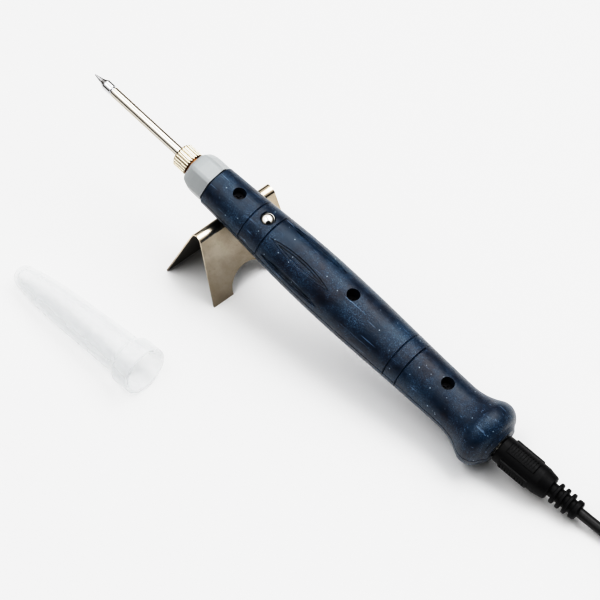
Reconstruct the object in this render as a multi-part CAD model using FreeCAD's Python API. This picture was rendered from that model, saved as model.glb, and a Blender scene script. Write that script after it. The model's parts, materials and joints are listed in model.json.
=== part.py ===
import FreeCAD, Part
import math
import os
from FreeCAD import Matrix, Placement, Rotation, Vector

# A slim low-voltage soldering iron lying on its folded sheet-steel stand, with its lead and tip cap.
# Millimetres. +X runs along the iron from its tip to its tail, +Z is up, and the table is z = 0.
# The iron is drawn in its own frame first: +X from the tip's point along its axis, +Z its upper side.
# Every distance along the iron is measured from the point of the bit.

# --- The set on the table -----------------------------------------------------------------------
ORIGIN = Vector(29.14, -22.74, 0)  # middle of the footprint of the stand, iron and cap
TILT = 10.7  # the iron's slope, tail down, degrees
CROSSING = 65.5  # where the iron crosses the stand's ridge
CROSSING_HEIGHT = 33.94  # height of the iron's axis there

# --- Folded stand -------------------------------------------------------------------------------
SHEET = 0.5
STAND_MIDDLE = 0.4  # along X from the point where the iron crosses it
STAND_HEIGHT = 27.3
STAND_HALF_SPREAD = 11.4
RIDGE_ENDS = (-15.7, 16.7)
TAIL_LEG_ENDS = (-18.3, 18.0)  # both legs are wider at the foot than at the ridge
TIP_LEG_ENDS = (-21.0, 20.1)
RIDGE_YAW = -6.4  # the stand is not quite square to the iron
BEND_RADIUS = 2.5
ARCH_RADIUS = 7.8
ARCH_CENTRE = Vector(0, -2.0, 0.5)
SEAT_RADIUS = 8.2

# --- Handle -------------------------------------------------------------------------------------
NECK_START = 51.0
NECK_RADIUS = 6.3
NECK_BORE = 4.6
HANDLE_START = 58.6
GRIP_POINTS = [
    (58.6, 7.68),
    (66.0, 7.98),
    (80.0, 8.66),
    (94.0, 9.5),
    (109.0, 9.9),
    (126.0, 9.78),
    (143.0, 9.32),
    (158.0, 8.93),
    (169.4, 8.78),
]
TAIL_CURVE_RADIUS = 20.0
BULGE_AT = 182.4
BULGE_RADIUS = 12.3
BULGE_CURVE_RADIUS = 5.6
BULGE_END = 187.7
TAIL_FACE = 189.0
TAIL_FACE_RADIUS = 6.9
CAVITY = [(60.5, 4.6), (61.5, 5.9), (75, 6.4), (92, 7.4), (110, 8.0), (145, 7.4), (168, 6.9), (176, 7.4),
          (182, 9.4), (186.2, 7.6)]
SEAM_GAP = 0.04
SEAM_GROOVE_WIDTH = 0.34
SEAM_GROOVE_DEPTH = 0.35
GROOVES = [76.7, 85.3, 144.4, 149.8]
GROOVE_HALF_WIDTH = 0.32
GROOVE_DEPTH = 0.4
FLUTE_ANGLES = [28, 73]  # from the top of the handle, on both sides
FLUTE_START = 86.8
FLUTE_LENGTH = 27.2
FLUTE_WIDTH = 3.9
FLUTE_DEPTH = 0.55
FLUTE_STEP = 0.5
FLUTE_SLOPE = 1.4  # the grip's slope along the flutes, degrees
FLUTE_BANK = 1.2  # how much wider a flute gets per millimetre of height
FLUTE_RUN_OUT = 2.5  # how much longer it gets

# --- Shell screws -------------------------------------------------------------------------------
SCREWS = [68.3, 120.6, 163.6]
RECESS_RADIUS = 2.3
RECESS_FLOOR = 3.4
SCREW_HOLE_RADIUS = 1.3
UPPER_BOSS_RADIUS = 3.5
LOWER_BOSS_RADIUS = 2.8
SCREW_RADIUS = 1.1
SCREW_DEPTH = 5.0
HEAD_RADIUS = 2.0
HEAD_HEIGHT = 1.3

# --- Front end ----------------------------------------------------------------------------------
COLLAR_SIDE = [  # along the axis and out to the corners
    (48.45, 5.4), (48.75, 6.0), (49.5, 6.65), (50.6, 7.1), (52.0, 7.4), (53.5, 7.5), (58.0, 7.5),
]
COLLAR_CLEAR = 12.0  # past the collar on every side
COLLAR_FLATS = 7
COLLAR_FLAT_SHARE = 0.935  # how far a flat's middle is from the axis, against the collar's corners
COLLAR_TURN = 5.0
COLLAR_WALL_REAR = 50.9
FERRULE_FRONT = 43.4
FERRULE_RADIUS = 3.4
FERRULE_BORE = 1.5
LAND_FRONT = 48.3
LAND_RADIUS = 4.6
RIB = (52.6, 53.6)  # the ferrule's rib that the two shells clamp
RIB_RADIUS = 5.3
NUT_FRONT = 41.4
NUT_REAR = 47.4
NUT_RADIUS = 4.5
NUT_FLUTES = 26
NUT_FLUTE_RADIUS = 0.42
NUT_SHOULDER = 42.6
SLEEVE_FRONT = 9.05
SLEEVE_REAR = 43.3
SLEEVE_RADIUS = 1.7
SLEEVE_BORE = 1.38
HEATER_RADIUS = 1.3
HEATER_FRONT = 15.3
HEATER_REAR = 61.5
RUNNING = 0.08  # radial clearance of a running fit

# --- Touch ball ---------------------------------------------------------------------------------
BALL_AT = 81.5
BALL_RADIUS = 3.0
BALL_CENTRE = 6.55
LIP_RADIUS = 2.68
LIP_START = 7.95
SPRING_RADIUS = 1.3
SPRING_WIRE = 0.18

# --- Circuit board ------------------------------------------------------------------------------
BOARD_START = 73.5
BOARD_END = 113.0
BOARD_HALF_WIDTH = 5.0
BOARD_TOP = -0.9
BOARD_THICKNESS = 1.2
LAMP_AT = 106.4
LAMP_RADIUS = 1.5
LAMP_TOP = 2.4

# --- Jack, plug and lead ------------------------------------------------------------------------
JACK_SKEW = 3.2  # the socket stands slightly askew in the handle's tail, degrees
PLUG_FACE = 0.45
PLUG_RADIUS = 4.95
PAD_START = 3.2
PAD_LENGTH = 11.6
PAD_WIDTH = 4.4
PAD_RADIUS = 5.5
PAD_RIBS = 10
BODY_END = 21.6
RELIEF_END = 33.4
CORE_RADIUS = 2.5
TEETH = [24.0, 26.6, 29.2]
TOOTH_HALF_WIDTH = 0.65
TOOTH_RADIUS = 3.9
BARREL_RADIUS = 1.75
CORD_RADIUS = 1.8
COIL_CENTRE = Vector(184, 28.2, 0)
COIL_MIDDLE = 18.55  # radius at the middle of the turns
COIL_PITCH = 3.7
COIL_COLUMNS = 4
COIL_LAYERS = 4
TIE_WIDTH = 6.0
TIE_THICKNESS = 0.5
TIE_ANGLE = 215  # where the tie is on the coil, from +X
FAR_PLUG = Vector(167.1, 61.2, 4.0)  # the cord's end in the far plug, whose mouth is towards -X

# --- Tip cap ------------------------------------------------------------------------------------
CAP_MOUTH = Vector(15.4, -57.9, 0)
CAP_TURN = 179.1  # direction from its mouth to its nose, degrees from +X
CAP_LENGTH = 63.3
CAP_RIM = 8.8
CAP_RIM_END = 7.0
CAP_SOCKET = 7.75
CAP_SIDE = [(8.6, 7.2), (20.0, 6.9), (34.0, 6.45), (48.0, 5.7)]
CAP_NOSE = 4.2
CAP_WALL = 1.1

X = Vector(1, 0, 0)
Z = Vector(0, 0, 1)
CENTRE = Vector(0, 0, 0)

iron_place = Placement(Vector(0, 0, CROSSING_HEIGHT), Rotation(Vector(0, 1, 0), TILT)).multiply(
    Placement(Vector(-CROSSING, 0, 0), Rotation())
)
plug_place = iron_place.multiply(Placement(Vector(TAIL_FACE, 0, 0), Rotation(Z, JACK_SKEW)))
set_place = Placement(-ORIGIN, Rotation())


def save(name, shape, place=Placement()):
    """Writes a node's STEP file, with the shape moved from its drawing frame to the set's frame."""
    made = shape.copy()
    made.Placement = set_place.multiply(place).multiply(made.Placement)
    made.exportStep(f"parts/{name}.step")
    print(f"{name}: {made.Volume:.2f} mm3, {len(made.Solids)} solid(s), valid {made.isValid()}")
    return made


# --- Shape helpers ------------------------------------------------------------------------------
def rod(radius, start, end):
    """Cylinder about the X axis."""
    return Part.makeCylinder(radius, end - start, Vector(start, 0, 0), X)


def pipe(outer, inner, start, end):
    """Tube about the X axis."""
    return rod(outer, start, end).cut(rod(inner, start - 1, end + 1))


def post(radius, x, y, low, high):
    """Upright cylinder."""
    return Part.makeCylinder(radius, high - low, Vector(x, y, low), Z)


def block(x, y, z):
    """Box between three (low, high) pairs."""
    return Part.makeBox(x[1] - x[0], y[1] - y[0], z[1] - z[0], Vector(x[0], y[0], z[0]))


def turned(outline):
    """Solid of revolution about X from (x, radius) points, closed along the axis."""
    points = [Vector(x, 0, r) for x, r in outline]
    if outline[0][1] > 0:
        points.insert(0, Vector(outline[0][0], 0, 0))
    if outline[-1][1] > 0:
        points.append(Vector(outline[-1][0], 0, 0))
    face = Part.Face(Part.makePolygon(points + [points[0]]))
    return face.revolve(CENTRE, X, 360)


def ring(x, radius, half_width, depth):
    """Solid V ring about X that cuts a groove of the given depth."""
    out = radius + half_width
    points = [
        Vector(x - half_width * (1 + half_width / depth), 0, out),
        Vector(x, 0, radius - depth),
        Vector(x + half_width * (1 + half_width / depth), 0, out),
    ]
    return Part.Face(Part.makePolygon(points + [points[0]])).revolve(CENTRE, X, 360)


def about_x(shape, angle):
    """The shape turned about X, so that its top goes towards -Y by the angle."""
    made = shape.copy()
    made.rotate(CENTRE, X, angle)
    return made


def mirrored(shape):
    """The shape's mirror image across the XZ plane."""
    return shape.mirror(CENTRE, Vector(0, 1, 0))


def route_wire(points):
    """Straight runs through the points, joined by tangent arcs. Returns the wire and the arcs' radii."""
    edges = []
    radii = []
    start = points[0]
    for before, corner, after in zip(points, points[1:], points[2:]):
        come = (corner - before).normalize()
        go = (after - corner).normalize()
        reach = 0.45 * min(before.distanceToPoint(corner), corner.distanceToPoint(after))
        half_turn = come.getAngle(go) / 2
        radius = reach / math.tan(half_turn)
        enter = corner - come * reach
        leave = corner + go * reach
        to_middle = (go - come).normalize()
        middle = corner + to_middle * (radius / math.cos(half_turn) - radius)
        edges.append(Part.LineSegment(start, enter).toShape())
        edges.append(Part.Arc(enter, middle, leave).toShape())
        radii.append(round(radius, 1))
        start = leave
    edges.append(Part.LineSegment(start, points[-1]).toShape())
    return Part.Wire(edges), radii


def tube_along(points, radius):
    """Round tube along a route. Returns the solid, its length and the radii of its arcs."""
    wire, radii = route_wire(points)
    direction = points[1] - points[0]
    section = Part.Wire([Part.makeCircle(radius, points[0], direction)])
    return wire.makePipeShell([section], True, False), wire.Length, radii


# --- Stand --------------------------------------------------------------------------------------
def fold_section(offset):
    """Edges of one face of the folded sheet, seen along the ridge, foot to foot, set in by the offset."""
    bend = BEND_RADIUS - offset
    top = STAND_HEIGHT - BEND_RADIUS
    slope = math.atan2(STAND_HALF_SPREAD, top) - math.asin(BEND_RADIUS / math.hypot(STAND_HALF_SPREAD, top))
    out = Vector(math.cos(slope), 0, math.sin(slope))
    right = Vector(bend * out.x, 0, top + bend * out.z)
    left = Vector(-right.x, 0, right.z)
    along = Vector(out.z, 0, -out.x)
    foot = right + along * (right.z / out.x)
    other_foot = Vector(-foot.x, 0, 0)
    arc = Part.Arc(right, Vector(0, 0, top + bend), left).toShape()
    return foot, other_foot, [Part.makeLine(foot, right), arc, Part.makeLine(left, other_foot)]


def leg_side(foot_ends, side):
    """Solid that trims one leg to its flared outline."""
    outline = [
        Vector(0, foot_ends[0], 0),
        Vector(0, RIDGE_ENDS[0], STAND_HEIGHT),
        Vector(0, RIDGE_ENDS[1], STAND_HEIGHT),
        Vector(0, foot_ends[1], 0),
    ]
    return Part.Face(Part.makePolygon(outline + [outline[0]])).extrude(Vector(side * 20, 0, 0))


def folded_stand():
    """One sheet folded to a ridge, with an arch in one leg and a seat for the handle in the ridge."""
    foot, other_foot, outside = fold_section(0)
    inner_foot, inner_other, inside = fold_section(SHEET)
    ends = [Part.makeLine(other_foot, inner_other), Part.makeLine(inner_foot, foot)]
    section = Part.Face(Part.Wire(Part.__sortEdges__(outside + ends + inside)))
    section.translate(Vector(0, -30, 0))
    sheet = section.extrude(Vector(0, 60, 0))
    trim = leg_side(TAIL_LEG_ENDS, 1).fuse(leg_side(TIP_LEG_ENDS, -1))
    arch = Part.makeCylinder(ARCH_RADIUS, 20, ARCH_CENTRE, X)
    made = sheet.common(trim).cut(arch)
    made.rotate(CENTRE, Z, RIDGE_YAW)
    made.translate(Vector(STAND_MIDDLE, 0, 0))
    seat = rod(SEAT_RADIUS, CROSSING - 20, CROSSING + 20)
    seat.Placement = iron_place
    return made.cut(seat).removeSplitter()


# --- Handle -------------------------------------------------------------------------------------
def handle_body(inset):
    """The handle's outer form, from the neck to the tail, set in by the inset."""
    grip = Part.BSplineCurve()
    points = [Vector(x, 0, r - inset) for x, r in GRIP_POINTS]
    grip.interpolate(Points=points, InitialTangent=Vector(1, 0, 0.045), FinalTangent=X)
    start = points[0]
    join = points[-1]
    hollow_centre = join + Vector(0, 0, TAIL_CURVE_RADIUS)
    bulge_centre = Vector(BULGE_AT, 0, BULGE_RADIUS - inset - BULGE_CURVE_RADIUS)
    between = (bulge_centre - hollow_centre).normalize()
    touch = bulge_centre - between * BULGE_CURVE_RADIUS
    middle_turn = (touch - hollow_centre + Vector(0, 0, -TAIL_CURVE_RADIUS)).normalize()
    crest = bulge_centre + Vector(0, 0, BULGE_CURVE_RADIUS)
    end_run = BULGE_END - BULGE_AT
    end_rise = math.sqrt(BULGE_CURVE_RADIUS**2 - end_run**2)
    bulge_end = bulge_centre + Vector(end_run, 0, end_rise)
    face_edge = Vector(TAIL_FACE - inset, 0, TAIL_FACE_RADIUS)
    edges = [
        Part.makeLine(Vector(start.x, 0, 0), start),
        grip.toShape(),
        Part.Arc(join, hollow_centre + middle_turn * TAIL_CURVE_RADIUS, touch).toShape(),
        Part.Arc(touch, crest, bulge_end).toShape(),
        Part.makeLine(bulge_end, face_edge),
        Part.makeLine(face_edge, Vector(face_edge.x, 0, 0)),
        Part.makeLine(Vector(face_edge.x, 0, 0), Vector(start.x, 0, 0)),
    ]
    return Part.Face(Part.Wire(edges)).revolve(CENTRE, X, 360)


def grip_radius(x):
    """The handle's radius at a distance along the grip, by straight steps between its points."""
    for (x0, r0), (x1, r1) in zip(GRIP_POINTS, GRIP_POINTS[1:]):
        if x0 <= x <= x1:
            return r0 + (r1 - r0) * (x - x0) / (x1 - x0)
    return GRIP_POINTS[-1][1]


def leaf(length, width, height):
    """Leaf outline, pointed at both ends, centred over the flutes' middle."""
    near = Vector(-length / 2, 0, height)
    far = Vector(length / 2, 0, height)
    sides = [
        Part.Arc(near, Vector(0, width / 2, height), far).toShape(),
        Part.Arc(far, Vector(0, -width / 2, height), near).toShape(),
    ]
    return Part.Wire(sides)


def scoop(length, width, level):
    """Leaf-shaped cutter with banked sides, of the given size at one height above the iron's axis."""
    low = leaf(length - FLUTE_RUN_OUT * 0.6, width - FLUTE_BANK * 0.6, level - 0.6)
    high = leaf(length + FLUTE_RUN_OUT, width + FLUTE_BANK, level + 1)
    made = Part.makeLoft([low, high], True, True)
    made.rotate(Vector(0, 0, level), Vector(0, 1, 0), -FLUTE_SLOPE)
    made.translate(Vector(FLUTE_START + FLUTE_LENGTH / 2, 0, 0))
    return made


def flutes(body):
    """Two-step leaf-shaped hollows on both sides of the grip."""
    surface = grip_radius(FLUTE_START + FLUTE_LENGTH / 2)
    steps = [
        (scoop(FLUTE_LENGTH, FLUTE_WIDTH, surface), FLUTE_DEPTH),
        (scoop(FLUTE_LENGTH - 6.5, FLUTE_WIDTH / 2, surface - FLUTE_DEPTH), FLUTE_DEPTH + FLUTE_STEP),
    ]
    made = []
    for cutter, depth in steps:
        skin = body.cut(handle_body(depth))
        for angle in FLUTE_ANGLES:
            hollow = about_x(cutter, angle).common(skin)
            made += [hollow, mirrored(hollow)]
    return made


def shells():
    """Upper and lower half shells, with bosses, ribs, screw recesses and the ball's guide."""
    body = handle_body(0)
    outer = body.fuse(rod(NECK_RADIUS, NECK_START, HANDLE_START + 1))
    neck_bore = [rod(NECK_BORE, NECK_START - 1, CAVITY[0][0] + 0.5), rod(RIB_RADIUS, *RIB)]
    cavity = turned(CAVITY).fuse(neck_bore)
    shell = outer.cut(cavity)
    upper_posts = [post(UPPER_BOSS_RADIUS, x, 0, 0, 12) for x in SCREWS]
    lower_posts = [post(LOWER_BOSS_RADIUS, x, 0, -12, 0) for x in SCREWS]
    guide = post(BALL_RADIUS + 1.2, BALL_AT, 0, 4.4, 12)
    shelves = [block((x, x + 1.2), (-12, 12), (-12, BOARD_TOP - BOARD_THICKNESS)) for x in (78, 108)]
    cradle = rod(12, 177.5, 179.0)
    cradle_hole = rod(4.3, -20, 0)
    cradle_hole.Placement = Placement(Vector(TAIL_FACE, 0, 0), Rotation(Z, JACK_SKEW))
    inner = [part.common(outer) for part in upper_posts + lower_posts + [guide, cradle] + shelves]
    shell = shell.fuse(inner).cut(cradle_hole)
    recesses = [post(RECESS_RADIUS, x, 0, RECESS_FLOOR, 14) for x in SCREWS]
    holes = [post(SCREW_HOLE_RADIUS, x, 0, 0, 14) for x in SCREWS]
    pilots = [post(SCREW_RADIUS, x, 0, -SCREW_DEPTH, 0.1) for x in SCREWS]
    ball_bore = post(BALL_RADIUS + RUNNING, BALL_AT, 0, 4, LIP_START)
    ball_lip = post(LIP_RADIUS, BALL_AT, 0, 4, 14)
    nose_hole = rod(3.6, -6, 3)
    nose_hole.Placement = Placement(Vector(TAIL_FACE, 0, 0), Rotation(Z, JACK_SKEW))
    grooves = [ring(x, grip_radius(x), GROOVE_HALF_WIDTH, GROOVE_DEPTH) for x in GROOVES]
    half_groove = SEAM_GROOVE_WIDTH / 2
    seam = block((40, 200), (-20, 20), (-half_groove, half_groove))
    seam = seam.common(body.cut(handle_body(SEAM_GROOVE_DEPTH)))
    cuts = recesses + holes + pilots + [ball_bore, ball_lip, nose_hole, seam] + grooves + flutes(body)
    shell = shell.cut(cuts)
    half = SEAM_GAP / 2
    upper = shell.common(block((40, 200), (-20, 20), (half, 20)))
    lower = shell.common(block((40, 200), (-20, 20), (-20, -half)))
    return upper, lower


def screws():
    """Three pan-head screws with cross slots, as separate solids."""
    made = []
    for x in SCREWS:
        head = post(HEAD_RADIUS, x, 0, RECESS_FLOOR, RECESS_FLOOR + HEAD_HEIGHT)
        shank = post(SCREW_RADIUS, x, 0, -SCREW_DEPTH + 0.3, RECESS_FLOOR)
        top = RECESS_FLOOR + HEAD_HEIGHT
        slot = block((x - 1.2, x + 1.2), (-0.25, 0.25), (top - 0.7, top + 1))
        cross = block((x - 0.25, x + 0.25), (-1.2, 1.2), (top - 0.7, top + 1))
        made.append(head.fuse(shank).cut([slot, cross]).removeSplitter())
    return Part.makeCompound(made)


# --- Front end ----------------------------------------------------------------------------------
def front_collar():
    """Grey ring over the shells' neck, with flats round it and a rounded front."""
    front = COLLAR_SIDE[0][0]
    rear = COLLAR_SIDE[-1][0]
    side = -COLLAR_CLEAR
    points = [Vector(x, side, radius * COLLAR_FLAT_SHARE) for x, radius in COLLAR_SIDE]
    points += [Vector(rear, side, COLLAR_CLEAR), Vector(front, side, COLLAR_CLEAR)]
    outside = Part.Face(Part.makePolygon(points + [points[0]])).extrude(Vector(0, 2 * COLLAR_CLEAR, 0))
    flats = [about_x(outside, COLLAR_TURN + 360 / COLLAR_FLATS * turn) for turn in range(COLLAR_FLATS)]
    neck = rod(NECK_RADIUS + 0.05, COLLAR_WALL_REAR, 62)
    hole = rod(LAND_RADIUS + 0.05, 40, 62)
    return turned(COLLAR_SIDE).cut(flats + [neck, hole])


def ferrule():
    """Threaded brass bush: thread in front, a land inside the collar, a ribbed spigot in the neck."""
    made = turned([
        (FERRULE_FRONT, FERRULE_RADIUS - 0.3),
        (FERRULE_FRONT + 0.3, FERRULE_RADIUS),
        (LAND_FRONT, FERRULE_RADIUS),
        (LAND_FRONT, LAND_RADIUS),
        (RIB[0], LAND_RADIUS),
        (RIB[0], RIB_RADIUS),
        (RIB[1], RIB_RADIUS),
        (RIB[1], NECK_BORE),
        (56.5, NECK_BORE),
    ])
    thread = [ring(44.2 + 0.75 * turn, FERRULE_RADIUS, 0.12, 0.2) for turn in range(5)]
    return made.cut(thread + [rod(FERRULE_BORE, 40, 60)])


def knurled_nut():
    """Nut with straight flutes round it and a shoulder that holds the sleeve's flange."""
    blank = turned([
        (NUT_FRONT, NUT_RADIUS - 1.1),
        (NUT_FRONT + 0.9, NUT_RADIUS),
        (NUT_REAR - 0.4, NUT_RADIUS),
        (NUT_REAR, NUT_RADIUS - 0.4),
    ])
    flute = Part.makeCylinder(NUT_FLUTE_RADIUS, 12, Vector(NUT_FRONT - 2, 0, NUT_RADIUS + 0.02), X)
    grooves = [about_x(flute, 360 / NUT_FLUTES * turn) for turn in range(NUT_FLUTES)]
    hole = rod(SLEEVE_RADIUS + RUNNING, NUT_FRONT - 1, NUT_SHOULDER + 1)
    bore = rod(FERRULE_RADIUS + RUNNING, NUT_SHOULDER, NUT_REAR + 1)
    return blank.cut(grooves + [hole, bore])


def bit_sleeve():
    """Polished tube with a flange at its rear end."""
    tube = turned([
        (SLEEVE_FRONT, SLEEVE_RADIUS - 0.15),
        (SLEEVE_FRONT + 0.15, SLEEVE_RADIUS),
        (NUT_SHOULDER + 0.1, SLEEVE_RADIUS),
        (NUT_SHOULDER + 0.1, 3.0),
        (SLEEVE_REAR, 3.0),
    ])
    return tube.cut(rod(SLEEVE_BORE, 0, 50))


def soldering_bit():
    """Plated bit: fine point, shoulder, body, and the shank that is pressed into the sleeve."""
    tip = Part.Arc(Vector(0, 0, 0), Vector(0.09, 0, 0.2), Vector(0.32, 0, 0.3)).toShape()
    points = [(0.32, 0.3), (3.6, 1.0), (5.3, 1.86), (5.6, 1.92), (8.45, 1.92), (8.55, 1.82), (8.55, SLEEVE_BORE),
              (15.0, SLEEVE_BORE), (15.0, 0), (0, 0)]
    vertices = [Vector(x, 0, r) for x, r in points]
    lines = [Part.makeLine(a, b) for a, b in zip(vertices, vertices[1:])]
    return Part.Face(Part.Wire([tip] + lines)).revolve(CENTRE, X, 360)


def heater():
    """Ceramic heating rod."""
    return turned([(HEATER_FRONT, HEATER_RADIUS - 0.3), (HEATER_FRONT + 0.3, HEATER_RADIUS),
                   (HEATER_REAR, HEATER_RADIUS)])


# --- Inside the handle --------------------------------------------------------------------------
def heater_leads():
    """Two insulated wires from the heater to the board, either side of the front screw."""
    points = [
        Vector(HEATER_REAR, 0.7, 0),
        Vector(62.8, 0.7, 0),
        Vector(65.0, 3.6, -0.2),
        Vector(68.6, 4.7, -0.5),
        Vector(72.4, 4.3, -0.45),
        Vector(76.0, 3.6, -0.4),
    ]
    wire, length, radii = tube_along(points, 0.4)
    return Part.makeCompound([wire, mirrored(wire)])


def supply_wires():
    """Two insulated wires from the board back to the jack."""
    points = [
        Vector(110.5, 2.9, -0.4),
        Vector(116.0, 4.4, -0.3),
        Vector(124.0, 4.9, 0),
        Vector(142.0, 4.4, 0.3),
        Vector(158.0, 4.9, 0.2),
        Vector(165.0, 4.7, 0.1),
        Vector(169.4, 2.9, 0),
    ]
    wire, length, radii = tube_along(points, 0.45)
    return Part.makeCompound([wire, mirrored(wire)])


def circuit_board():
    """Narrow board under the touch ball, with four corner notches."""
    made = block((BOARD_START, BOARD_END), (-BOARD_HALF_WIDTH, BOARD_HALF_WIDTH),
                 (BOARD_TOP - BOARD_THICKNESS, BOARD_TOP))
    notches = [post(0.9, x, y, -4, 1) for x in (BOARD_START, BOARD_END) for y in (-5, 5)]
    return made.cut(notches)


def chip(x, y, length, width, height):
    """Moulded chip package on the board with a row of legs each side."""
    body = block((x, x + length), (y - width / 2, y + width / 2), (BOARD_TOP + 0.1, BOARD_TOP + height))
    legs = []
    for step in range(4):
        leg_x = x + 0.45 + step * (length - 1.3) / 3
        legs.append(block((leg_x, leg_x + 0.4), (y - width / 2 - 0.9, y + width / 2 + 0.9),
                          (BOARD_TOP, BOARD_TOP + 0.25)))
    return body.fuse(legs).removeSplitter()


def board_passives():
    """Small resistors and capacitors on the board, as separate solids."""
    places = [(75.6, 0), (77.2, -1.6), (86.2, -3.4), (86.2, 3.4), (95.6, -3.6), (95.6, -0.4), (110.4, 0)]
    return Part.makeCompound([
        block((x, x + 1.6), (y - 0.4, y + 0.4), (BOARD_TOP, BOARD_TOP + 0.7)) for x, y in places
    ])


def status_lamp():
    """Small round lamp whose light shows through the shell."""
    dome = Part.makeSphere(LAMP_RADIUS, Vector(LAMP_AT, 0, LAMP_TOP))
    flange = post(LAMP_RADIUS + 0.3, LAMP_AT, 0, BOARD_TOP, BOARD_TOP + 0.9)
    return post(LAMP_RADIUS, LAMP_AT, 0, BOARD_TOP, LAMP_TOP).fuse([dome, flange]).removeSplitter()


def motion_switch():
    """Metal can of the switch that puts the iron to sleep when it lies still."""
    return Part.makeCylinder(1.6, 5.6, Vector(88.3, -1.9, BOARD_TOP + 1.6), X).fuse(
        Part.makeCylinder(1.2, 6.4, Vector(87.9, -1.9, BOARD_TOP + 1.6), X)
    ).removeSplitter()


def touch_spring():
    """Coil spring that carries the touch signal from the ball to the board."""
    height = BALL_CENTRE - BALL_RADIUS - BOARD_TOP - 2 * SPRING_WIRE - 0.1
    helix = Part.Wire(Part.makeHelix(0.95, height, SPRING_RADIUS))
    section = Part.Wire([Part.makeCircle(SPRING_WIRE, Vector(SPRING_RADIUS, 0, 0), Vector(0, 1, 0))])
    made = helix.makePipeShell([section], True, True)
    made.translate(Vector(BALL_AT, 0, BOARD_TOP + SPRING_WIRE + 0.05))
    return made


# --- Jack and plug, drawn from the centre of the handle's tail face -------------------------------
def jack_housing():
    """Round socket body with a nose that fills the hole in the tail."""
    made = turned([(-16, 4.2), (-3.2, 4.2), (-3.2, 3.5), (-0.3, 3.5)])
    return made.cut([rod(BARREL_RADIUS + RUNNING, -15.2, 1)])


def jack_contacts():
    """Two solder tabs on the back of the socket."""
    tab = block((-19.6, -16), (2.3, 2.6), (-0.9, 0.9))
    hole = Part.makeCylinder(0.35, 2, Vector(-18.7, 1.5, 0), Vector(0, 1, 0))
    tab = tab.cut(hole)
    return Part.makeCompound([tab, mirrored(tab)])


def plug_overmould():
    """Round moulded grip with four ribbed pads and a tapered back."""
    body = turned([
        (PLUG_FACE, PLUG_RADIUS - 0.3),
        (PLUG_FACE + 0.3, PLUG_RADIUS),
        (17.4, PLUG_RADIUS + 0.1),
        (BODY_END - 0.3, 4.3),
        (BODY_END, 3.95),
    ])
    pad_end = PAD_START + PAD_LENGTH
    outer = turned([(PAD_START, PAD_RADIUS - 0.25), (PAD_START + 0.3, PAD_RADIUS),
                    (pad_end - 0.3, PAD_RADIUS), (pad_end, PAD_RADIUS - 0.25)])
    bar = block((PAD_START, pad_end), (-PAD_WIDTH / 2, PAD_WIDTH / 2), (3, 7)).common(outer)
    pitch = (PAD_LENGTH - 1.2) / PAD_RIBS
    slots = [
        block((x, x + pitch / 2), (-PAD_WIDTH / 2 + 0.5, PAD_WIDTH / 2 - 0.5), (PLUG_RADIUS - 0.05, 7))
        for x in [PAD_START + 0.8 + pitch * step for step in range(PAD_RIBS)]
    ]
    bar = bar.cut(slots)
    pads = [about_x(bar, 90 * turn) for turn in range(4)]
    socket = rod(BARREL_RADIUS, -1, 6)
    return body.fuse(pads).cut([socket, rod(CORD_RADIUS, 15, 30)]).removeSplitter()


def strain_relief():
    """Flexible neck of thin rings behind the plug's grip."""
    outline = [(BODY_END, CORE_RADIUS)]
    for middle in TEETH:
        outline += [
            (middle - TOOTH_HALF_WIDTH, CORE_RADIUS),
            (middle - TOOTH_HALF_WIDTH, TOOTH_RADIUS - 0.25),
            (middle - TOOTH_HALF_WIDTH + 0.25, TOOTH_RADIUS),
            (middle + TOOTH_HALF_WIDTH - 0.25, TOOTH_RADIUS),
            (middle + TOOTH_HALF_WIDTH, TOOTH_RADIUS - 0.25),
            (middle + TOOTH_HALF_WIDTH, CORE_RADIUS),
        ]
    outline += [(31.1, CORE_RADIUS), (31.1, 3.2), (31.5, 3.5), (32.9, 3.5), (RELIEF_END, 3.0)]
    return turned(outline).cut(rod(CORD_RADIUS, BODY_END - 1, RELIEF_END - 3))


def plug_sleeve_contact():
    """Metal barrel with a flange inside the grip."""
    return pipe(BARREL_RADIUS, 1.1, -10.4, 4.0)


def plug_insulator():
    """Insulating liner with the ring that shows between barrel and tip."""
    return turned([(-11.2, BARREL_RADIUS - 0.03), (-10.4, BARREL_RADIUS - 0.03), (-10.4, 1.1), (5.0, 1.1)]).cut(
        rod(0.7, -20, 10)
    )


def plug_tip_contact():
    """Centre pin with the rounded, necked tip."""
    return turned([(-14.6, 0.5), (-14.2, 1.0), (-13.5, BARREL_RADIUS - 0.05), (-12.9, 1.35), (-12.3, 1.35),
                   (-11.6, BARREL_RADIUS - 0.05), (-11.2, BARREL_RADIUS - 0.05), (-11.2, 0.7), (6.0, 0.7)])


# --- Lead ---------------------------------------------------------------------------------------
def lead_route():
    """Points of the cord from the plug to the coil."""
    start = plug_place.multVec(Vector(RELIEF_END, 0, 0))
    out = plug_place.Rotation.multVec(X)
    return [
        start,
        start + out * 9,
        Vector(175.0, 3.2, 1.95),
        Vector(184.5, 4.1, 1.85),
    ]


def tail_route():
    """Points of the cord from the top of the coil to the far plug."""
    return [
        Vector(206.9, 35.6, 12.9),
        Vector(201.2, 48.4, 10.6),
        Vector(190.5, 57.4, 6.2),
        Vector(178.1, FAR_PLUG.y, FAR_PLUG.z),
        FAR_PLUG,
    ]


def coil_section():
    """Half the width and the height of the wound cord's section."""
    half_width = COIL_PITCH * (COIL_COLUMNS - 1) / 2 + CORD_RADIUS
    return half_width, COIL_PITCH * (COIL_LAYERS - 1) + 2 * CORD_RADIUS + 0.1


def cord_coil():
    """Outer form of the wound cord."""
    half_width, height = coil_section()
    outer = Part.makeCylinder(COIL_MIDDLE + half_width, height, COIL_CENTRE, Z)
    made = outer.cut(Part.makeCylinder(COIL_MIDDLE - half_width, height, COIL_CENTRE, Z))
    return made


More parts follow.
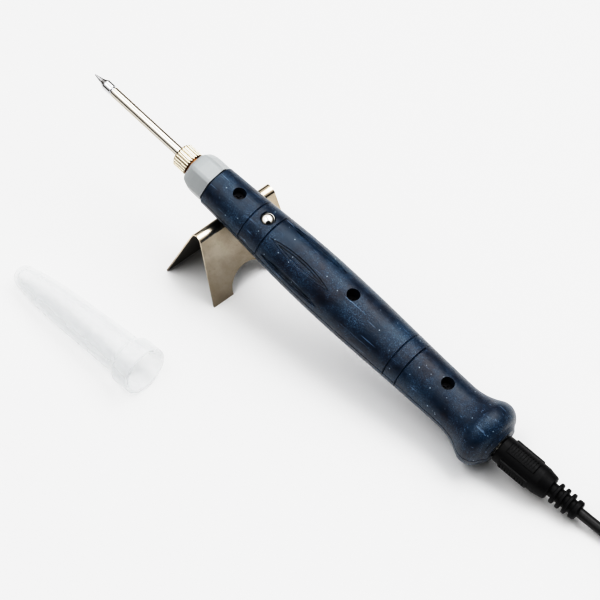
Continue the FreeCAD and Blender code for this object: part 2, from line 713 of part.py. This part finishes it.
def coil_tie():
    """Flat band round the wound cord."""
    half_width, height = coil_section()
    height += TIE_THICKNESS
    low = COIL_MIDDLE - half_width - TIE_THICKNESS
    high = COIL_MIDDLE + half_width + TIE_THICKNESS
    band = block((low, high), (-TIE_WIDTH / 2, TIE_WIDTH / 2), (0, height))
    opening = block((low + TIE_THICKNESS, high - TIE_THICKNESS), (-TIE_WIDTH, TIE_WIDTH),
                    (TIE_THICKNESS, height - TIE_THICKNESS))
    made = band.cut(opening)
    made.rotate(CENTRE, Z, TIE_ANGLE)
    made.translate(COIL_CENTRE)
    return made


# --- Far plug, drawn with its cord end at the origin and its mouth along +X -----------------------
FAR_PLACE = Placement(FAR_PLUG, Rotation(Z, 180))


def far_relief():
    """Ribbed neck behind the far plug."""
    outline = [(0, 2.5), (2.0, 2.7)]
    for x in (2.0, 4.4, 6.8):
        outline += [(x, 2.5), (x, 3.1), (x + 1.4, 3.2), (x + 1.4, 2.6)]
    outline += [(9.0, 2.8)]
    return turned(outline).cut(rod(CORD_RADIUS, -1, 3))


def far_overmould():
    """Moulded grip of the far plug, with shallow finger ribs."""
    made = block((9, 32), (-7.8, 7.8), (-3.9, 3.9))
    made = made.makeFillet(1.6, made.Edges)
    ribs = [
        block((x, x + 0.9), (-4.6, 4.6), (3.5, 5)).fuse(block((x, x + 0.9), (-4.6, 4.6), (-5, -3.5)))
        for x in (13.6, 16.0, 18.4, 20.8, 23.2)
    ]
    pocket = block((26, 36), (-6.0, 6.0), (-2.25, 2.25))
    return made.cut(ribs + [pocket])


def far_shell():
    """Folded metal shell of the far plug with two windows on each face."""
    outer = block((26, 44), (-6.0, 6.0), (-2.25, 2.25))
    inner = block((26, 45), (-5.7, 5.7), (-1.95, 1.95))
    windows = [block((36.4, 38.8), (y - 1.25, y + 1.25), (-4, 4)) for y in (-2.6, 2.6)]
    return outer.cut([inner] + windows)


def far_tongue():
    """Insulating tongue that carries the contacts."""
    return block((26, 43.4), (-5.6, 5.6), (-1.9, -0.2)).fuse(
        block((26, 31), (-5.6, 5.6), (-1.9, 1.9))
    ).removeSplitter()


def far_contacts():
    """Four flat contacts on the tongue."""
    made = []
    for index, y in enumerate((-3.5, -1.0, 1.0, 3.5)):
        reach = 42.6 if index in (0, 3) else 41.4
        made.append(block((31, reach), (y - 0.5, y + 0.5), (-0.2, 0.0)))
    return Part.makeCompound(made)


# --- Cap ----------------------------------------------------------------------------------------
def cap_outline(inset):
    """Edges of the cap's side from the rim to the nose, set in by the inset, mouth at x = 0."""
    curve = Part.BSplineCurve()
    nose_centre = CAP_LENGTH - CAP_NOSE
    nose_radius = CAP_NOSE - inset
    points = [Vector(x, 0, radius - inset) for x, radius in CAP_SIDE]
    points.append(Vector(nose_centre, 0, nose_radius))
    curve.interpolate(Points=points)
    side = 45
    middle = Vector(nose_centre + nose_radius * math.sin(math.radians(side)), 0,
                    nose_radius * math.cos(math.radians(side)))
    nose = Part.Arc(points[-1], middle, Vector(nose_centre + nose_radius, 0, 0))
    return points[0], [curve.toShape(), nose.toShape()]


def solid_cap(inset, rim, rim_end):
    """Solid of revolution inside one face of the cap."""
    first, side = cap_outline(inset)
    end = Vector(side[-1].Vertexes[-1].Point)
    edges = [
        Part.makeLine(CENTRE, Vector(0, 0, rim)),
        Part.makeLine(Vector(0, 0, rim), Vector(rim_end, 0, rim)),
        Part.makeLine(Vector(rim_end, 0, rim), first),
    ]
    close = [Part.makeLine(end, CENTRE)]
    return Part.Face(Part.Wire(edges + side + close)).revolve(CENTRE, X, 360)


def protective_cap():
    """Thin cap with a wide rim that goes over the collar."""
    made = solid_cap(0, CAP_RIM, CAP_RIM_END).cut(solid_cap(CAP_WALL, CAP_SOCKET, CAP_RIM_END + 0.4))
    side = cap_outline(0)[1][0]
    points = side.discretize(60)
    tilt = min(math.atan2(CAP_RIM - point.z, point.x - CAP_RIM_END) for point in points)
    height = CAP_RIM * math.cos(tilt) + CAP_RIM_END * math.sin(tilt) + 0.02
    place = Placement(CAP_MOUTH + Vector(0, 0, height), Rotation(Z, CAP_TURN))
    made.Placement = place.multiply(Placement(CENTRE, Rotation(Vector(0, 1, 0), math.degrees(tilt))))
    return made


def report_cord(name, length, radii, volume):
    """Prints a cord's length, bend radii and how its volume compares with its section."""
    section = math.pi * CORD_RADIUS**2
    print(f"{name}: length {length:.1f}, radii {radii}, volume ratio {volume / section / length:.4f}")


os.makedirs("parts", exist_ok=True)
save("folded_stand", folded_stand())

upper_shell, lower_shell = shells()
in_iron = {
    "handle_upper_shell": upper_shell,
    "handle_lower_shell": lower_shell,
    "shell_screws": screws(),
    "front_collar": front_collar(),
    "threaded_ferrule": ferrule(),
    "knurled_nut": knurled_nut(),
    "bit_sleeve": bit_sleeve(),
    "soldering_bit": soldering_bit(),
    "ceramic_heater": heater(),
    "heater_washer": pipe(NECK_BORE, HEATER_RADIUS, 57.0, 58.4),
    "heater_leads": heater_leads(),
    "circuit_board": circuit_board(),
    "controller_chip": chip(98.2, -0.2, 5.0, 3.9, 1.6),
    "power_transistor": chip(90.0, 2.4, 4.6, 2.4, 1.3),
    "board_passives": board_passives(),
    "motion_switch": motion_switch(),
    "status_lamp": status_lamp(),
    "touch_spring": touch_spring(),
    "touch_ball": Part.makeSphere(BALL_RADIUS, Vector(BALL_AT, 0, BALL_CENTRE)),
    "supply_wires": supply_wires(),
}
for node, shape in in_iron.items():
    save(node, shape, iron_place)

on_plug = {
    "jack_housing": jack_housing(),
    "jack_contacts": jack_contacts(),
    "plug_overmould": plug_overmould(),
    "plug_strain_relief": strain_relief(),
    "plug_sleeve_contact": plug_sleeve_contact(),
    "plug_insulator": plug_insulator(),
    "plug_tip_contact": plug_tip_contact(),
}
for node, shape in on_plug.items():
    save(node, shape, plug_place)

lead, lead_length, lead_radii = tube_along(lead_route(), CORD_RADIUS)
tail, tail_length, tail_radii = tube_along(tail_route(), CORD_RADIUS)
report_cord("cord_run", lead_length, lead_radii, lead.Volume)
report_cord("cord_tail", tail_length, tail_radii, tail.Volume)
save("cord_run", lead)
save("cord_coil", cord_coil())
save("cord_tail", tail)
save("coil_tie", coil_tie())

in_far_plug = {
    "far_strain_relief": far_relief(),
    "far_overmould": far_overmould(),
    "far_shell": far_shell(),
    "far_tongue": far_tongue(),
    "far_contacts": far_contacts(),
}
for node, shape in in_far_plug.items():
    save(node, shape, FAR_PLACE)

save("protective_cap", protective_cap())
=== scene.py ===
import json
import math

import bmesh
import bpy
from mathutils import Matrix, Vector


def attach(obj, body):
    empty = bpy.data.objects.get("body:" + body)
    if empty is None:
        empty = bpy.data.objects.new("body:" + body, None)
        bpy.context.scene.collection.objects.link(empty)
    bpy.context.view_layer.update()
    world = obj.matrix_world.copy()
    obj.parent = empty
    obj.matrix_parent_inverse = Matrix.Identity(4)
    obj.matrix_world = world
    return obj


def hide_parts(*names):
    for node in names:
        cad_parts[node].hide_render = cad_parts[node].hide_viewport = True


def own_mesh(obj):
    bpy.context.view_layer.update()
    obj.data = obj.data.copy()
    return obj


# A slim low-voltage soldering iron on its folded stand, with its lead and tip cap. Metres; +X runs
# from the iron's tip to its tail, +Z is up and the table is z = 0.

MM = 0.001

# --- Camera -------------------------------------------------------------------------------------
CAMERA_AIM = Vector((-0.3, 25.54, 0)) * MM
CAMERA_DISTANCE = 1.0
CAMERA_AZIMUTH = 43.95
CAMERA_ELEVATION = 55.66
CAMERA_ROLL = -0.65
CAMERA_LENS = 175.49
SENSOR = 36.0

# --- Light --------------------------------------------------------------------------------------
SURROUND_STRENGTH = 0.95
PERSON_AZIMUTH = 56.0
PERSON_ELEVATION = 30.0
PERSON_EDGE = (0.78, 0.90)  # cosines of the angles where the dark room begins and is full
PERSON_LIGHT = 0.02
SKY = [(0.22, (0.03, 0.024, 0.018)), (0.42, (0.34, 0.32, 0.30)), (0.60, (1.0, 1.0, 1.0))]
WHITE = 0.89  # the print's brightest tone
TONE = [(0.02, 0.005), (0.05, 0.018), (0.10, 0.058), (0.18, 0.16), (0.35, 0.41), (0.65, 0.76), (0.85, 0.86)]

# --- Lead ---------------------------------------------------------------------------------------
CORD_RADIUS = 1.8
RUN_POINTS = [(124.98, 24.60, 4.82), (133.81, 25.11, 3.15), (145.86, 25.94, 1.95), (153.0, 26.6, 1.85)]
TAIL_POINTS = [(172.06, 71.14, 10.6), (161.36, 80.14, 6.2), (148.96, 83.94, 4.0), (137.96, 83.94, 4.0)]
COIL_CENTRE = Vector((154.86, 50.94, 0))
COIL_MIDDLE = 18.55
COIL_PITCH = 3.7
COIL_LAYERS = 4
COIL_TURNS = 12.3
CLIMB_SHARE = 0.06  # of a layer, at its end, where the lead climbs to the next one
LAYER_CLEAR = 0.05
POINTS_PER_TURN = 20
TIE_ANGLE = 215
TIE_WIDTH = 6.0
TIE_THICKNESS = 0.5
TIE_CLEAR = 0.5
TIE_CORNER_STEPS = 8
SELVEDGE = 0.7
SELVEDGE_SLOPE = 0.3
BODY_SHARE = 0.7  # the woven middle's thickness against the selvedges'
TIE_EDGE = 0.12

# --- Stand --------------------------------------------------------------------------------------
FOLD_DEPTH = 22.0  # how far the folded sheet shelters itself, which sets the reach of the painted shade in the fold
FOLD_YAW = math.radians(6.4)  # the rolling grain follows the ridge
FOOT_SHADE_HEIGHTS = (0.003, 0.024)  # painted shade towards the feet: full at the first height, none at the second, in metres

# --- Iron ---------------------------------------------------------------------------------------
TILT = math.radians(10.7)

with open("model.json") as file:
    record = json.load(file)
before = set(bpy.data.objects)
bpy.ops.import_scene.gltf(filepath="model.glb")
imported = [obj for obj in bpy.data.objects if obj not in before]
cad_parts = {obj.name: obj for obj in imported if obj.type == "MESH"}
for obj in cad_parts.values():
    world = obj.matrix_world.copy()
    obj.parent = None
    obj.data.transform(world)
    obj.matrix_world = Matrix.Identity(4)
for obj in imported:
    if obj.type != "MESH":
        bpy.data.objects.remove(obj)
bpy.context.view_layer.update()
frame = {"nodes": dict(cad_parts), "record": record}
nodes = frame["nodes"]
scene = bpy.context.scene


# --- Material helpers ---------------------------------------------------------------------------
class Surface:
    """A Principled material, with short ways to add procedural detail in object space."""

    def __init__(self, name, colour, roughness, metallic=0.0, **values):
        self.material = bpy.data.materials.new(name)
        self.material.use_nodes = True
        self.nodes = self.material.node_tree.nodes
        self.links = self.material.node_tree.links
        self.shader = self.nodes["Principled BSDF"]
        self.colour = colour
        self.roughness = roughness
        self.set("Base Color", (*colour, 1))
        self.set("Roughness", roughness)
        self.set("Metallic", metallic)
        for socket, value in values.items():
            self.set(socket.replace("_", " "), value)
        self.place = self.nodes.new("ShaderNodeTexCoord").outputs["Object"]
        self.normal = None

    def set(self, socket, value):
        self.shader.inputs[socket].default_value = value

    def link(self, output, socket):
        self.links.new(output, self.shader.inputs[socket])

    def aligned(self, stretch, angle=TILT, yaw=0.0):
        """Object coordinates turned along the iron's axis and scaled along and across it."""
        turn = self.nodes.new("ShaderNodeMapping")
        turn.vector_type = "POINT"
        turn.inputs["Rotation"].default_value = (0, -angle, yaw)
        scale = self.nodes.new("ShaderNodeMapping")
        scale.inputs["Scale"].default_value = stretch
        self.links.new(self.place, turn.inputs["Vector"])
        self.links.new(turn.outputs["Vector"], scale.inputs["Vector"])
        return scale.outputs["Vector"]

    def noise(self, scale, detail=4.0, rough=0.55, vector=None):
        node = self.nodes.new("ShaderNodeTexNoise")
        node.inputs["Scale"].default_value = scale
        node.inputs["Detail"].default_value = detail
        node.inputs["Roughness"].default_value = rough
        self.links.new(vector or self.place, node.inputs["Vector"])
        return node.outputs["Fac"]

    def cells(self, scale, vector=None):
        node = self.nodes.new("ShaderNodeTexVoronoi")
        node.inputs["Scale"].default_value = scale
        self.links.new(vector or self.place, node.inputs["Vector"])
        return node.outputs["Distance"], node.outputs["Color"]

    def ramp(self, factor, low, high, start=0.0, end=1.0):
        """Maps a factor from low..high to start..end, clamped."""
        node = self.nodes.new("ShaderNodeMapRange")
        for socket, value in (("From Min", low), ("From Max", high), ("To Min", start), ("To Max", end)):
            node.inputs[socket].default_value = value
        self.links.new(factor, node.inputs["Value"])
        return node.outputs["Result"]

    def times(self, a, b):
        node = self.nodes.new("ShaderNodeMath")
        node.operation = "MULTIPLY"
        self.links.new(a, node.inputs[0])
        if isinstance(b, float):
            node.inputs[1].default_value = b
        else:
            self.links.new(b, node.inputs[1])
        return node.outputs["Value"]

    def mix(self, factor, a, b):
        """Colour mix; a and b are colours or outputs."""
        node = self.nodes.new("ShaderNodeMix")
        node.data_type = "RGBA"
        self.links.new(factor, node.inputs["Factor"])
        for index, value in ((6, a), (7, b)):
            if isinstance(value, tuple):
                node.inputs[index].default_value = (*value, 1)
            else:
                self.links.new(value, node.inputs[index])
        return node.outputs[2]

    def shelter(self, distance):
        """How open the surface is to its surroundings, 0 to 1, within a distance."""
        node = self.nodes.new("ShaderNodeAmbientOcclusion")
        node.samples = 8
        node.inputs["Distance"].default_value = distance
        return node.outputs["AO"]

    def bump(self, height, strength, distance):
        node = self.nodes.new("ShaderNodeBump")
        node.inputs["Strength"].default_value = strength
        node.inputs["Distance"].default_value = distance
        self.links.new(height, node.inputs["Height"])
        if self.normal:
            self.links.new(self.normal, node.inputs["Normal"])
        self.normal = node.outputs["Normal"]
        self.link(self.normal, "Normal")


def shade(value, colour):
    """The colour made lighter or darker."""
    return tuple(min(1.0, value * c) for c in colour)


def plain(name, colour, roughness, metallic=0.0, grain=900, variation=0.12, bump=0.05, **values):
    """Surface with fine colour and gloss variation, for pieces with no special finish."""
    s = Surface(name, colour, roughness, metallic, **values)
    fine = s.noise(grain)
    broad = s.noise(grain / 12)
    s.link(s.mix(broad, shade(1 - variation, colour), shade(1 + variation, colour)), "Base Color")
    s.link(s.ramp(fine, 0.3, 0.7, roughness * 0.85, min(1, roughness * 1.2)), "Roughness")
    s.bump(fine, bump, 0.0002)
    return s.material


# --- Materials ----------------------------------------------------------------------------------
def handle_plastic():
    """Smoky blue plastic: cloudy depth, satin patches broken up by fine dirt, dust and fine scratches, with
    lighter patches and pale dots that are partly dust and wear and partly painted sheen and sparkle.
    """
    s = Surface("handle_plastic", (0.012, 0.034, 0.068), 0.3, Coat_Weight=0.34, Coat_Roughness=0.14,
                Specular_IOR_Level=0.32)
    cloud = s.ramp(s.noise(75, 4, 0.6), 0.36, 0.64)
    colour = s.mix(cloud, (0.002, 0.006, 0.020), (0.005, 0.028, 0.056))
    # Lighter patches, partly wear and partly painted sheen, and bright fine dirt in them that is partly
    # painted sparkle highlight.
    wear_and_sheen = s.ramp(s.noise(110, 4, 0.7), 0.42, 0.62)
    grit_and_sparkle = s.ramp(s.noise(2700, 4, 0.85), 0.52, 0.61)
    colour = s.mix(s.times(wear_and_sheen, 0.3), colour, (0.012, 0.042, 0.080))
    colour = s.mix(s.times(s.times(wear_and_sheen, grit_and_sparkle), 0.7), colour, (0.12, 0.22, 0.33))
    lines = s.ramp(s.noise(1300, 2, 0.5, s.aligned((0.05, 1.0, 1.0))), 0.66, 0.72)
    colour = s.mix(s.times(lines, 0.4), colour, (0.22, 0.33, 0.48))
    # Pale dots, partly dust and partly painted glints.
    distance, random = s.cells(900)
    dust_and_glint = s.times(s.ramp(distance, 0.10, 0.22, 1.0, 0.0), s.ramp(random, 0.83, 0.87))
    s.link(s.mix(s.times(dust_and_glint, 0.85), colour, (0.50, 0.60, 0.70)), "Base Color")
    s.link(s.ramp(wear_and_sheen, 0.0, 1.0, 0.28, 0.46), "Roughness")
    s.bump(s.noise(140, 3), 0.16, 0.0005)
    s.bump(s.noise(1700, 4, 0.8), 0.6, 0.0002)
    s.link(s.normal, "Coat Normal")
    return s.material


def rolled_steel():
    """Bright rolled stainless sheet with fine grain, smears and small scratches, and painted shade in the
    fold and towards its feet.
    """
    s = Surface("rolled_steel", (0.52, 0.46, 0.38), 0.2, 1.0)
    smear = s.ramp(s.noise(70, 4, 0.6), 0.35, 0.65)
    grain = s.noise(900, 5, 0.7, s.aligned((3.0, 0.12, 0.3), 0, FOLD_YAW))
    marks = s.ramp(s.noise(700, 4, 0.75), 0.60, 0.72, 0.0, 0.6)
    colour = s.mix(smear, (0.46, 0.39, 0.30), (0.74, 0.67, 0.57))
    colour = s.mix(marks, colour, (0.26, 0.22, 0.17))
    # Painted shade: the steel's colour darkens towards its feet.
    height = s.nodes.new("ShaderNodeSeparateXYZ")
    s.links.new(s.place, height.inputs["Vector"])
    foot_shade = s.ramp(height.outputs["Z"], *FOOT_SHADE_HEIGHTS, 0.62, 0.0)
    colour = s.mix(foot_shade, colour, (0.20, 0.165, 0.125))
    # Painted shade: near-black colour where the fold shelters the sheet.
    fold_shade = s.ramp(s.shelter(FOLD_DEPTH * MM), 0.4, 0.85, 1.0, 0.0)
    s.link(s.mix(fold_shade, colour, (0.10, 0.088, 0.066)), "Base Color")
    s.link(s.ramp(smear, 0.0, 1.0, 0.10, 0.22), "Roughness")
    s.bump(grain, 0.06, 0.00008)
    return s.material


def polished_metal(name, colour, roughness, stain=(0.5, 0.42, 0.34), amount=0.25, rim=(1, 1, 1)):
    """Turned and polished metal with faint rings along the iron's axis and a little tarnish."""
    s = Surface(name, colour, roughness, 1.0, Specular_Tint=(*rim, 1))
    rings = s.noise(700, 3, 0.6, s.aligned((4.0, 0.15, 0.15)))
    spots = s.ramp(s.noise(300, 5, 0.7), 0.55, 0.8, 0.0, amount)
    s.link(s.mix(spots, colour, stain), "Base Color")
    s.link(s.ramp(rings, 0.3, 0.7, roughness * 0.8, roughness * 1.4), "Roughness")
    s.bump(rings, 0.05, 0.00005)
    return s.material


def clear_plastic():
    """Frosted clear plastic, denser where it is seen edge-on."""
    s = Surface("clear_plastic", (0.80, 0.82, 0.83), 0.3, IOR=1.46, Coat_Weight=0.6, Coat_Roughness=0.1)
    edge = s.nodes.new("ShaderNodeLayerWeight")
    edge.inputs["Blend"].default_value = 0.35
    haze = s.noise(220, 4)
    dense = s.ramp(edge.outputs["Facing"], 0.0, 1.0, 0.14, 0.70)
    s.link(s.times(dense, s.ramp(haze, 0.3, 0.7, 0.85, 1.1)), "Alpha")
    s.link(s.ramp(haze, 0.3, 0.7, 0.22, 0.38), "Roughness")
    s.bump(haze, 0.1, 0.0002)
    return s.material


MATERIALS = {
    "stand_steel": rolled_steel(),
    "handle_shell": handle_plastic(),
    "grey_plastic": plain("grey_plastic", (0.36, 0.375, 0.38), 0.36, grain=1200, variation=0.05, bump=0.08),
    "nickel": polished_metal("nickel", (0.53, 0.485, 0.405), 0.2, amount=0.5, rim=(0.3, 0.25, 0.2)),
    "sleeve_steel": polished_metal("sleeve_steel", (0.60, 0.57, 0.52), 0.16, rim=(0.12, 0.08, 0.05)),
    "bit_plate": polished_metal("bit_plate", (0.60, 0.60, 0.61), 0.16, amount=0.4),
    # The brass is made far darker than bright brass, as painted shade in the gap between the nut and the
    # collar.
    "brass": polished_metal("brass", (0.26, 0.13, 0.055), 0.3, rim=(0.4, 0.25, 0.15)),
    "ball_steel": plain("ball_steel", (0.88, 0.87, 0.84), 0.05, 1.0, 1500, 0.03, 0.01),
    "screw_steel": plain("screw_steel", (0.04, 0.04, 0.045), 0.45, 1.0),
    "ceramic": plain("ceramic", (0.86, 0.84, 0.8), 0.4),
    "insulation": plain("insulation", (0.6, 0.52, 0.36), 0.7),
    "wire_red": plain("wire_red", (0.42, 0.03, 0.02), 0.45),
    "board": plain("board", (0.02, 0.13, 0.055), 0.35, grain=500),
    "chip_black": plain("chip_black", (0.02, 0.02, 0.022), 0.5),
    "passive": plain("passive", (0.45, 0.33, 0.22), 0.5),
    "lamp": plain("lamp", (0.75, 0.12, 0.08), 0.2),
    "spring_steel": plain("spring_steel", (0.62, 0.62, 0.62), 0.25, 1.0),
    "jack_black": plain("jack_black", (0.018, 0.018, 0.02), 0.4),
    "contact_metal": plain("contact_metal", (0.74, 0.72, 0.67), 0.22, 1.0),
    "plug_rubber": plain("plug_rubber", (0.005, 0.005, 0.006), 0.46, grain=1500, bump=0.15,
                         Specular_IOR_Level=0.24),
    "cord": plain("cord", (0.008, 0.008, 0.009), 0.42, grain=1100, bump=0.1),
    "tie": plain("tie", (0.014, 0.014, 0.016), 0.85, grain=2500, bump=0.6),
    "gold": plain("gold", (0.85, 0.62, 0.25), 0.2, 1.0),
    "tongue_white": plain("tongue_white", (0.8, 0.8, 0.77), 0.45),
    "cap_clear": clear_plastic(),
}

for subpart in frame["record"]["subparts"]:
    node = nodes[subpart["node"]]
    node.data.materials.clear()
    node.data.materials.append(MATERIALS[subpart["material_slot"]])


# --- Lead ---------------------------------------------------------------------------------------
def coil_points():
    """Centreline of the wound lead: four flat spirals, in and out, one on top of another."""
    span = COIL_PITCH * (COIL_LAYERS - 1)
    turns_in_layer = COIL_TURNS / COIL_LAYERS
    points = []
    for step in range(round(COIL_TURNS * POINTS_PER_TURN) + 1):
        turn = step / POINTS_PER_TURN
        layer = min(int(turn / turns_in_layer), COIL_LAYERS - 1)
        done = turn / turns_in_layer - layer
        inward = done if layer % 2 == 0 else 1 - done
        radius = COIL_MIDDLE + span / 2 - span * inward
        climbed = max(0.0, (done - 1 + CLIMB_SHARE) / CLIMB_SHARE)
        rise = 0.0 if layer == COIL_LAYERS - 1 else climbed
        angle = math.radians(-90) + turn * math.tau
        height = CORD_RADIUS + LAYER_CLEAR + COIL_PITCH * (layer + rise)
        points.append(COIL_CENTRE + Vector((radius * math.cos(angle), radius * math.sin(angle), height)))
    return points


def lead():
    """The whole lead as one round cord, from the barrel plug to the far plug."""
    curve = bpy.data.curves.new("lead", "CURVE")
    curve.dimensions = "3D"
    curve.bevel_depth = CORD_RADIUS * MM
    curve.bevel_resolution = 5
    curve.resolution_u = 8
    curve.use_fill_caps = True
    route = [Vector(p) for p in RUN_POINTS] + coil_points() + [Vector(p) for p in TAIL_POINTS]
    spline = curve.splines.new("NURBS")
    spline.points.add(len(route) - 1)
    for point, place in zip(spline.points, route):
        point.co = (*(place * MM), 1)
    spline.order_u = 3
    spline.use_endpoint_u = True
    made = bpy.data.objects.new("lead", curve)
    scene.collection.objects.link(made)
    made.data.materials.append(MATERIALS["cord"])
    return made


def tie_outline():
    """Points and outward directions of the band's middle line round the coil: (across, up) pairs."""
    across = COIL_PITCH * (COIL_LAYERS - 1) / 2
    low = CORD_RADIUS + TIE_CLEAR
    high = low + COIL_PITCH * (COIL_LAYERS - 1)
    bend = CORD_RADIUS + TIE_THICKNESS / 2
    outline = []
    for corner, (side, level) in enumerate(((across, high), (-across, high), (-across, low), (across, low))):
        for step in range(TIE_CORNER_STEPS + 1):
            angle = math.radians(90 * corner + 90 * step / TIE_CORNER_STEPS)
            out = Vector((math.cos(angle), math.sin(angle)))
            outline.append((Vector((side, level)) + out * bend, out))
    return outline


def tie_band():
    """Woven band round the wound lead, with slightly thicker selvedges."""
    mesh = bpy.data.meshes.new("tie_band")
    made = bpy.data.objects.new("tie_band", mesh)
    scene.collection.objects.link(made)
    turn = math.radians(TIE_ANGLE)
    outward = Vector((math.cos(turn), math.sin(turn), 0))
    sideways = Vector((-math.sin(turn), math.cos(turn), 0))
    half = TIE_WIDTH / 2
    thick = TIE_THICKNESS / 2
    body_half = half - SELVEDGE - SELVEDGE_SLOPE
    body_thick = thick * BODY_SHARE
    section = [(-half, thick), (SELVEDGE - half, thick), (-body_half, body_thick), (body_half, body_thick),
               (half - SELVEDGE, thick), (half, thick), (half, -thick), (-half, -thick)]
    shape = bmesh.new()
    rows = []
    for middle, out in tie_outline():
        row = []
        for aside, rise in section:
            flat = middle + out * rise
            place = COIL_CENTRE + outward * (COIL_MIDDLE + flat.x) + Vector((0, 0, flat.y)) + sideways * aside
            row.append(shape.verts.new(place * MM))
        rows.append(row)
    for row, after in zip(rows, rows[1:] + rows[:1]):
        for index in range(len(section)):
            other = (index + 1) % len(section)
            shape.faces.new((row[index], row[other], after[other], after[index]))
    bmesh.ops.recalc_face_normals(shape, faces=shape.faces)
    shape.to_mesh(mesh)
    shape.free()
    for polygon in mesh.polygons:
        polygon.use_smooth = True
    edge = made.modifiers.new("edge", "BEVEL")
    edge.width = TIE_EDGE * MM
    edge.segments = 2
    mesh.materials.append(MATERIALS["tie"])
    return made


cord = lead()
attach(cord, "plug")
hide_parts("cord_run", "cord_coil", "cord_tail")
band = tie_band()
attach(band, "plug")
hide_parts("coil_tie")


def pressed_spring():
    """Copy of the ball's spring, with its own mesh, carried with the iron in place of the original."""
    rigid = nodes["touch_spring"]
    made = bpy.data.objects.new("touch_coil_spring", rigid.data.copy())
    scene.collection.objects.link(made)
    made.matrix_world = rigid.matrix_world
    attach(made, "iron")
    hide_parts("touch_spring")
    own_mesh(made)


pressed_spring()


# --- Stage --------------------------------------------------------------------------------------
def floor():
    """Large pale floor."""
    mesh = bpy.data.meshes.new("floor")
    size = 3.0
    corners = [(-size, -size, 0), (size, -size, 0), (size, size, 0), (-size, size, 0)]
    mesh.from_pydata(corners, [], [(0, 1, 2, 3)])
    made = bpy.data.objects.new("floor", mesh)
    scene.collection.objects.link(made)
    made.location.z = -0.02 * MM
    mesh.materials.append(plain("floor", (0.9, 0.9, 0.9), 0.6, grain=300, variation=0.01, bump=0.01))


def direction_to(azimuth, elevation):
    """Direction from the object, in degrees: azimuth 0 is -Y, and it grows towards +X."""
    azimuth = math.radians(azimuth)
    elevation = math.radians(elevation)
    return Vector((
        math.sin(azimuth) * math.cos(elevation),
        -math.cos(azimuth) * math.cos(elevation),
        math.sin(elevation),
    ))


def area_light(name, place, aim, size, power):
    """Soft white rectangular light at a place, turned to face its aim."""
    light = bpy.data.lights.new(name, "AREA")
    light.shape = "RECTANGLE"
    light.size, light.size_y = size
    light.energy = power
    made = bpy.data.objects.new(name, light)
    scene.collection.objects.link(made)
    made.location = place
    made.rotation_euler = (Vector(aim) - Vector(place)).to_track_quat("-Z", "Y").to_euler()


def surround():
    """Pale ceiling, dim towards the horizon and dark where the photographer stands."""
    world = bpy.data.worlds.new("surround")
    scene.world = world
    world.use_nodes = True
    nodes, links = world.node_tree.nodes, world.node_tree.links
    background = nodes["Background"]
    direction = nodes.new("ShaderNodeTexCoord").outputs["Generated"]
    height = nodes.new("ShaderNodeSeparateXYZ")
    links.new(direction, height.inputs["Vector"])
    sky = nodes.new("ShaderNodeValToRGB")
    stops = sky.color_ramp.elements
    for (position, colour), stop in zip((SKY[0], SKY[-1]), list(stops)):
        stop.position = position
        stop.color = (*colour, 1)
    for position, colour in SKY[1:-1]:
        stops.new(position).color = (*colour, 1)
    links.new(height.outputs["Z"], sky.inputs["Fac"])
    towards = nodes.new("ShaderNodeVectorMath")
    towards.operation = "DOT_PRODUCT"
    towards.inputs[1].default_value = direction_to(PERSON_AZIMUTH, PERSON_ELEVATION)
    links.new(direction, towards.inputs[0])
    dark = nodes.new("ShaderNodeMapRange")
    dark.inputs["From Min"].default_value, dark.inputs["From Max"].default_value = PERSON_EDGE
    dark.inputs["To Min"].default_value = 1.0
    dark.inputs["To Max"].default_value = PERSON_LIGHT
    links.new(towards.outputs["Value"], dark.inputs["Value"])
    strength = nodes.new("ShaderNodeMath")
    strength.operation = "MULTIPLY"
    strength.inputs[1].default_value = SURROUND_STRENGTH
    links.new(dark.outputs["Result"], strength.inputs[0])
    links.new(sky.outputs["Color"], background.inputs["Color"])
    links.new(strength.outputs["Value"], background.inputs["Strength"])


def lights():
    """Large soft box overhead on the far side, and a long one over the near side."""
    area_light("main", (0.15, 0.55, 1.1), (0.02, 0.0, 0), (1.1, 0.7), 8.0)
    area_light("near", (-0.25, -0.35, 1.2), (0, 0, 0), (0.9, 0.4), 4.0)


def camera():
    """Camera at the photograph's angle, level apart from a slight roll."""
    back = direction_to(CAMERA_AZIMUTH, CAMERA_ELEVATION)
    azimuth = math.radians(CAMERA_AZIMUTH)
    level = Vector((math.cos(azimuth), math.sin(azimuth), 0))
    rise = back.cross(level)
    roll = math.radians(CAMERA_ROLL)
    right = level * math.cos(roll) + rise * math.sin(roll)
    up = rise * math.cos(roll) - level * math.sin(roll)
    data = bpy.data.cameras.new("camera")
    data.sensor_width = SENSOR
    data.lens = CAMERA_LENS
    data.clip_start = 0.01
    made = bpy.data.objects.new("camera", data)
    scene.collection.objects.link(made)
    place = CAMERA_AIM + back * CAMERA_DISTANCE
    made.matrix_world = Matrix.Translation(place) @ Matrix((right, up, back)).transposed().to_4x4()
    scene.camera = made


def tone():
    """Bright, contrasty print: whites held just under full, middle tones lifted, darks deepened."""
    view = scene.view_settings
    view.view_transform = "Standard"
    view.use_curve_mapping = True
    curve = view.curve_mapping.curves[3]
    curve.points[0].location = (0, 0)
    curve.points[1].location = (1, WHITE)
    for place in TONE:
        curve.points.new(*place)
    view.curve_mapping.use_clip = False
    view.curve_mapping.update()


tone()
floor()
surround()
lights()
camera()
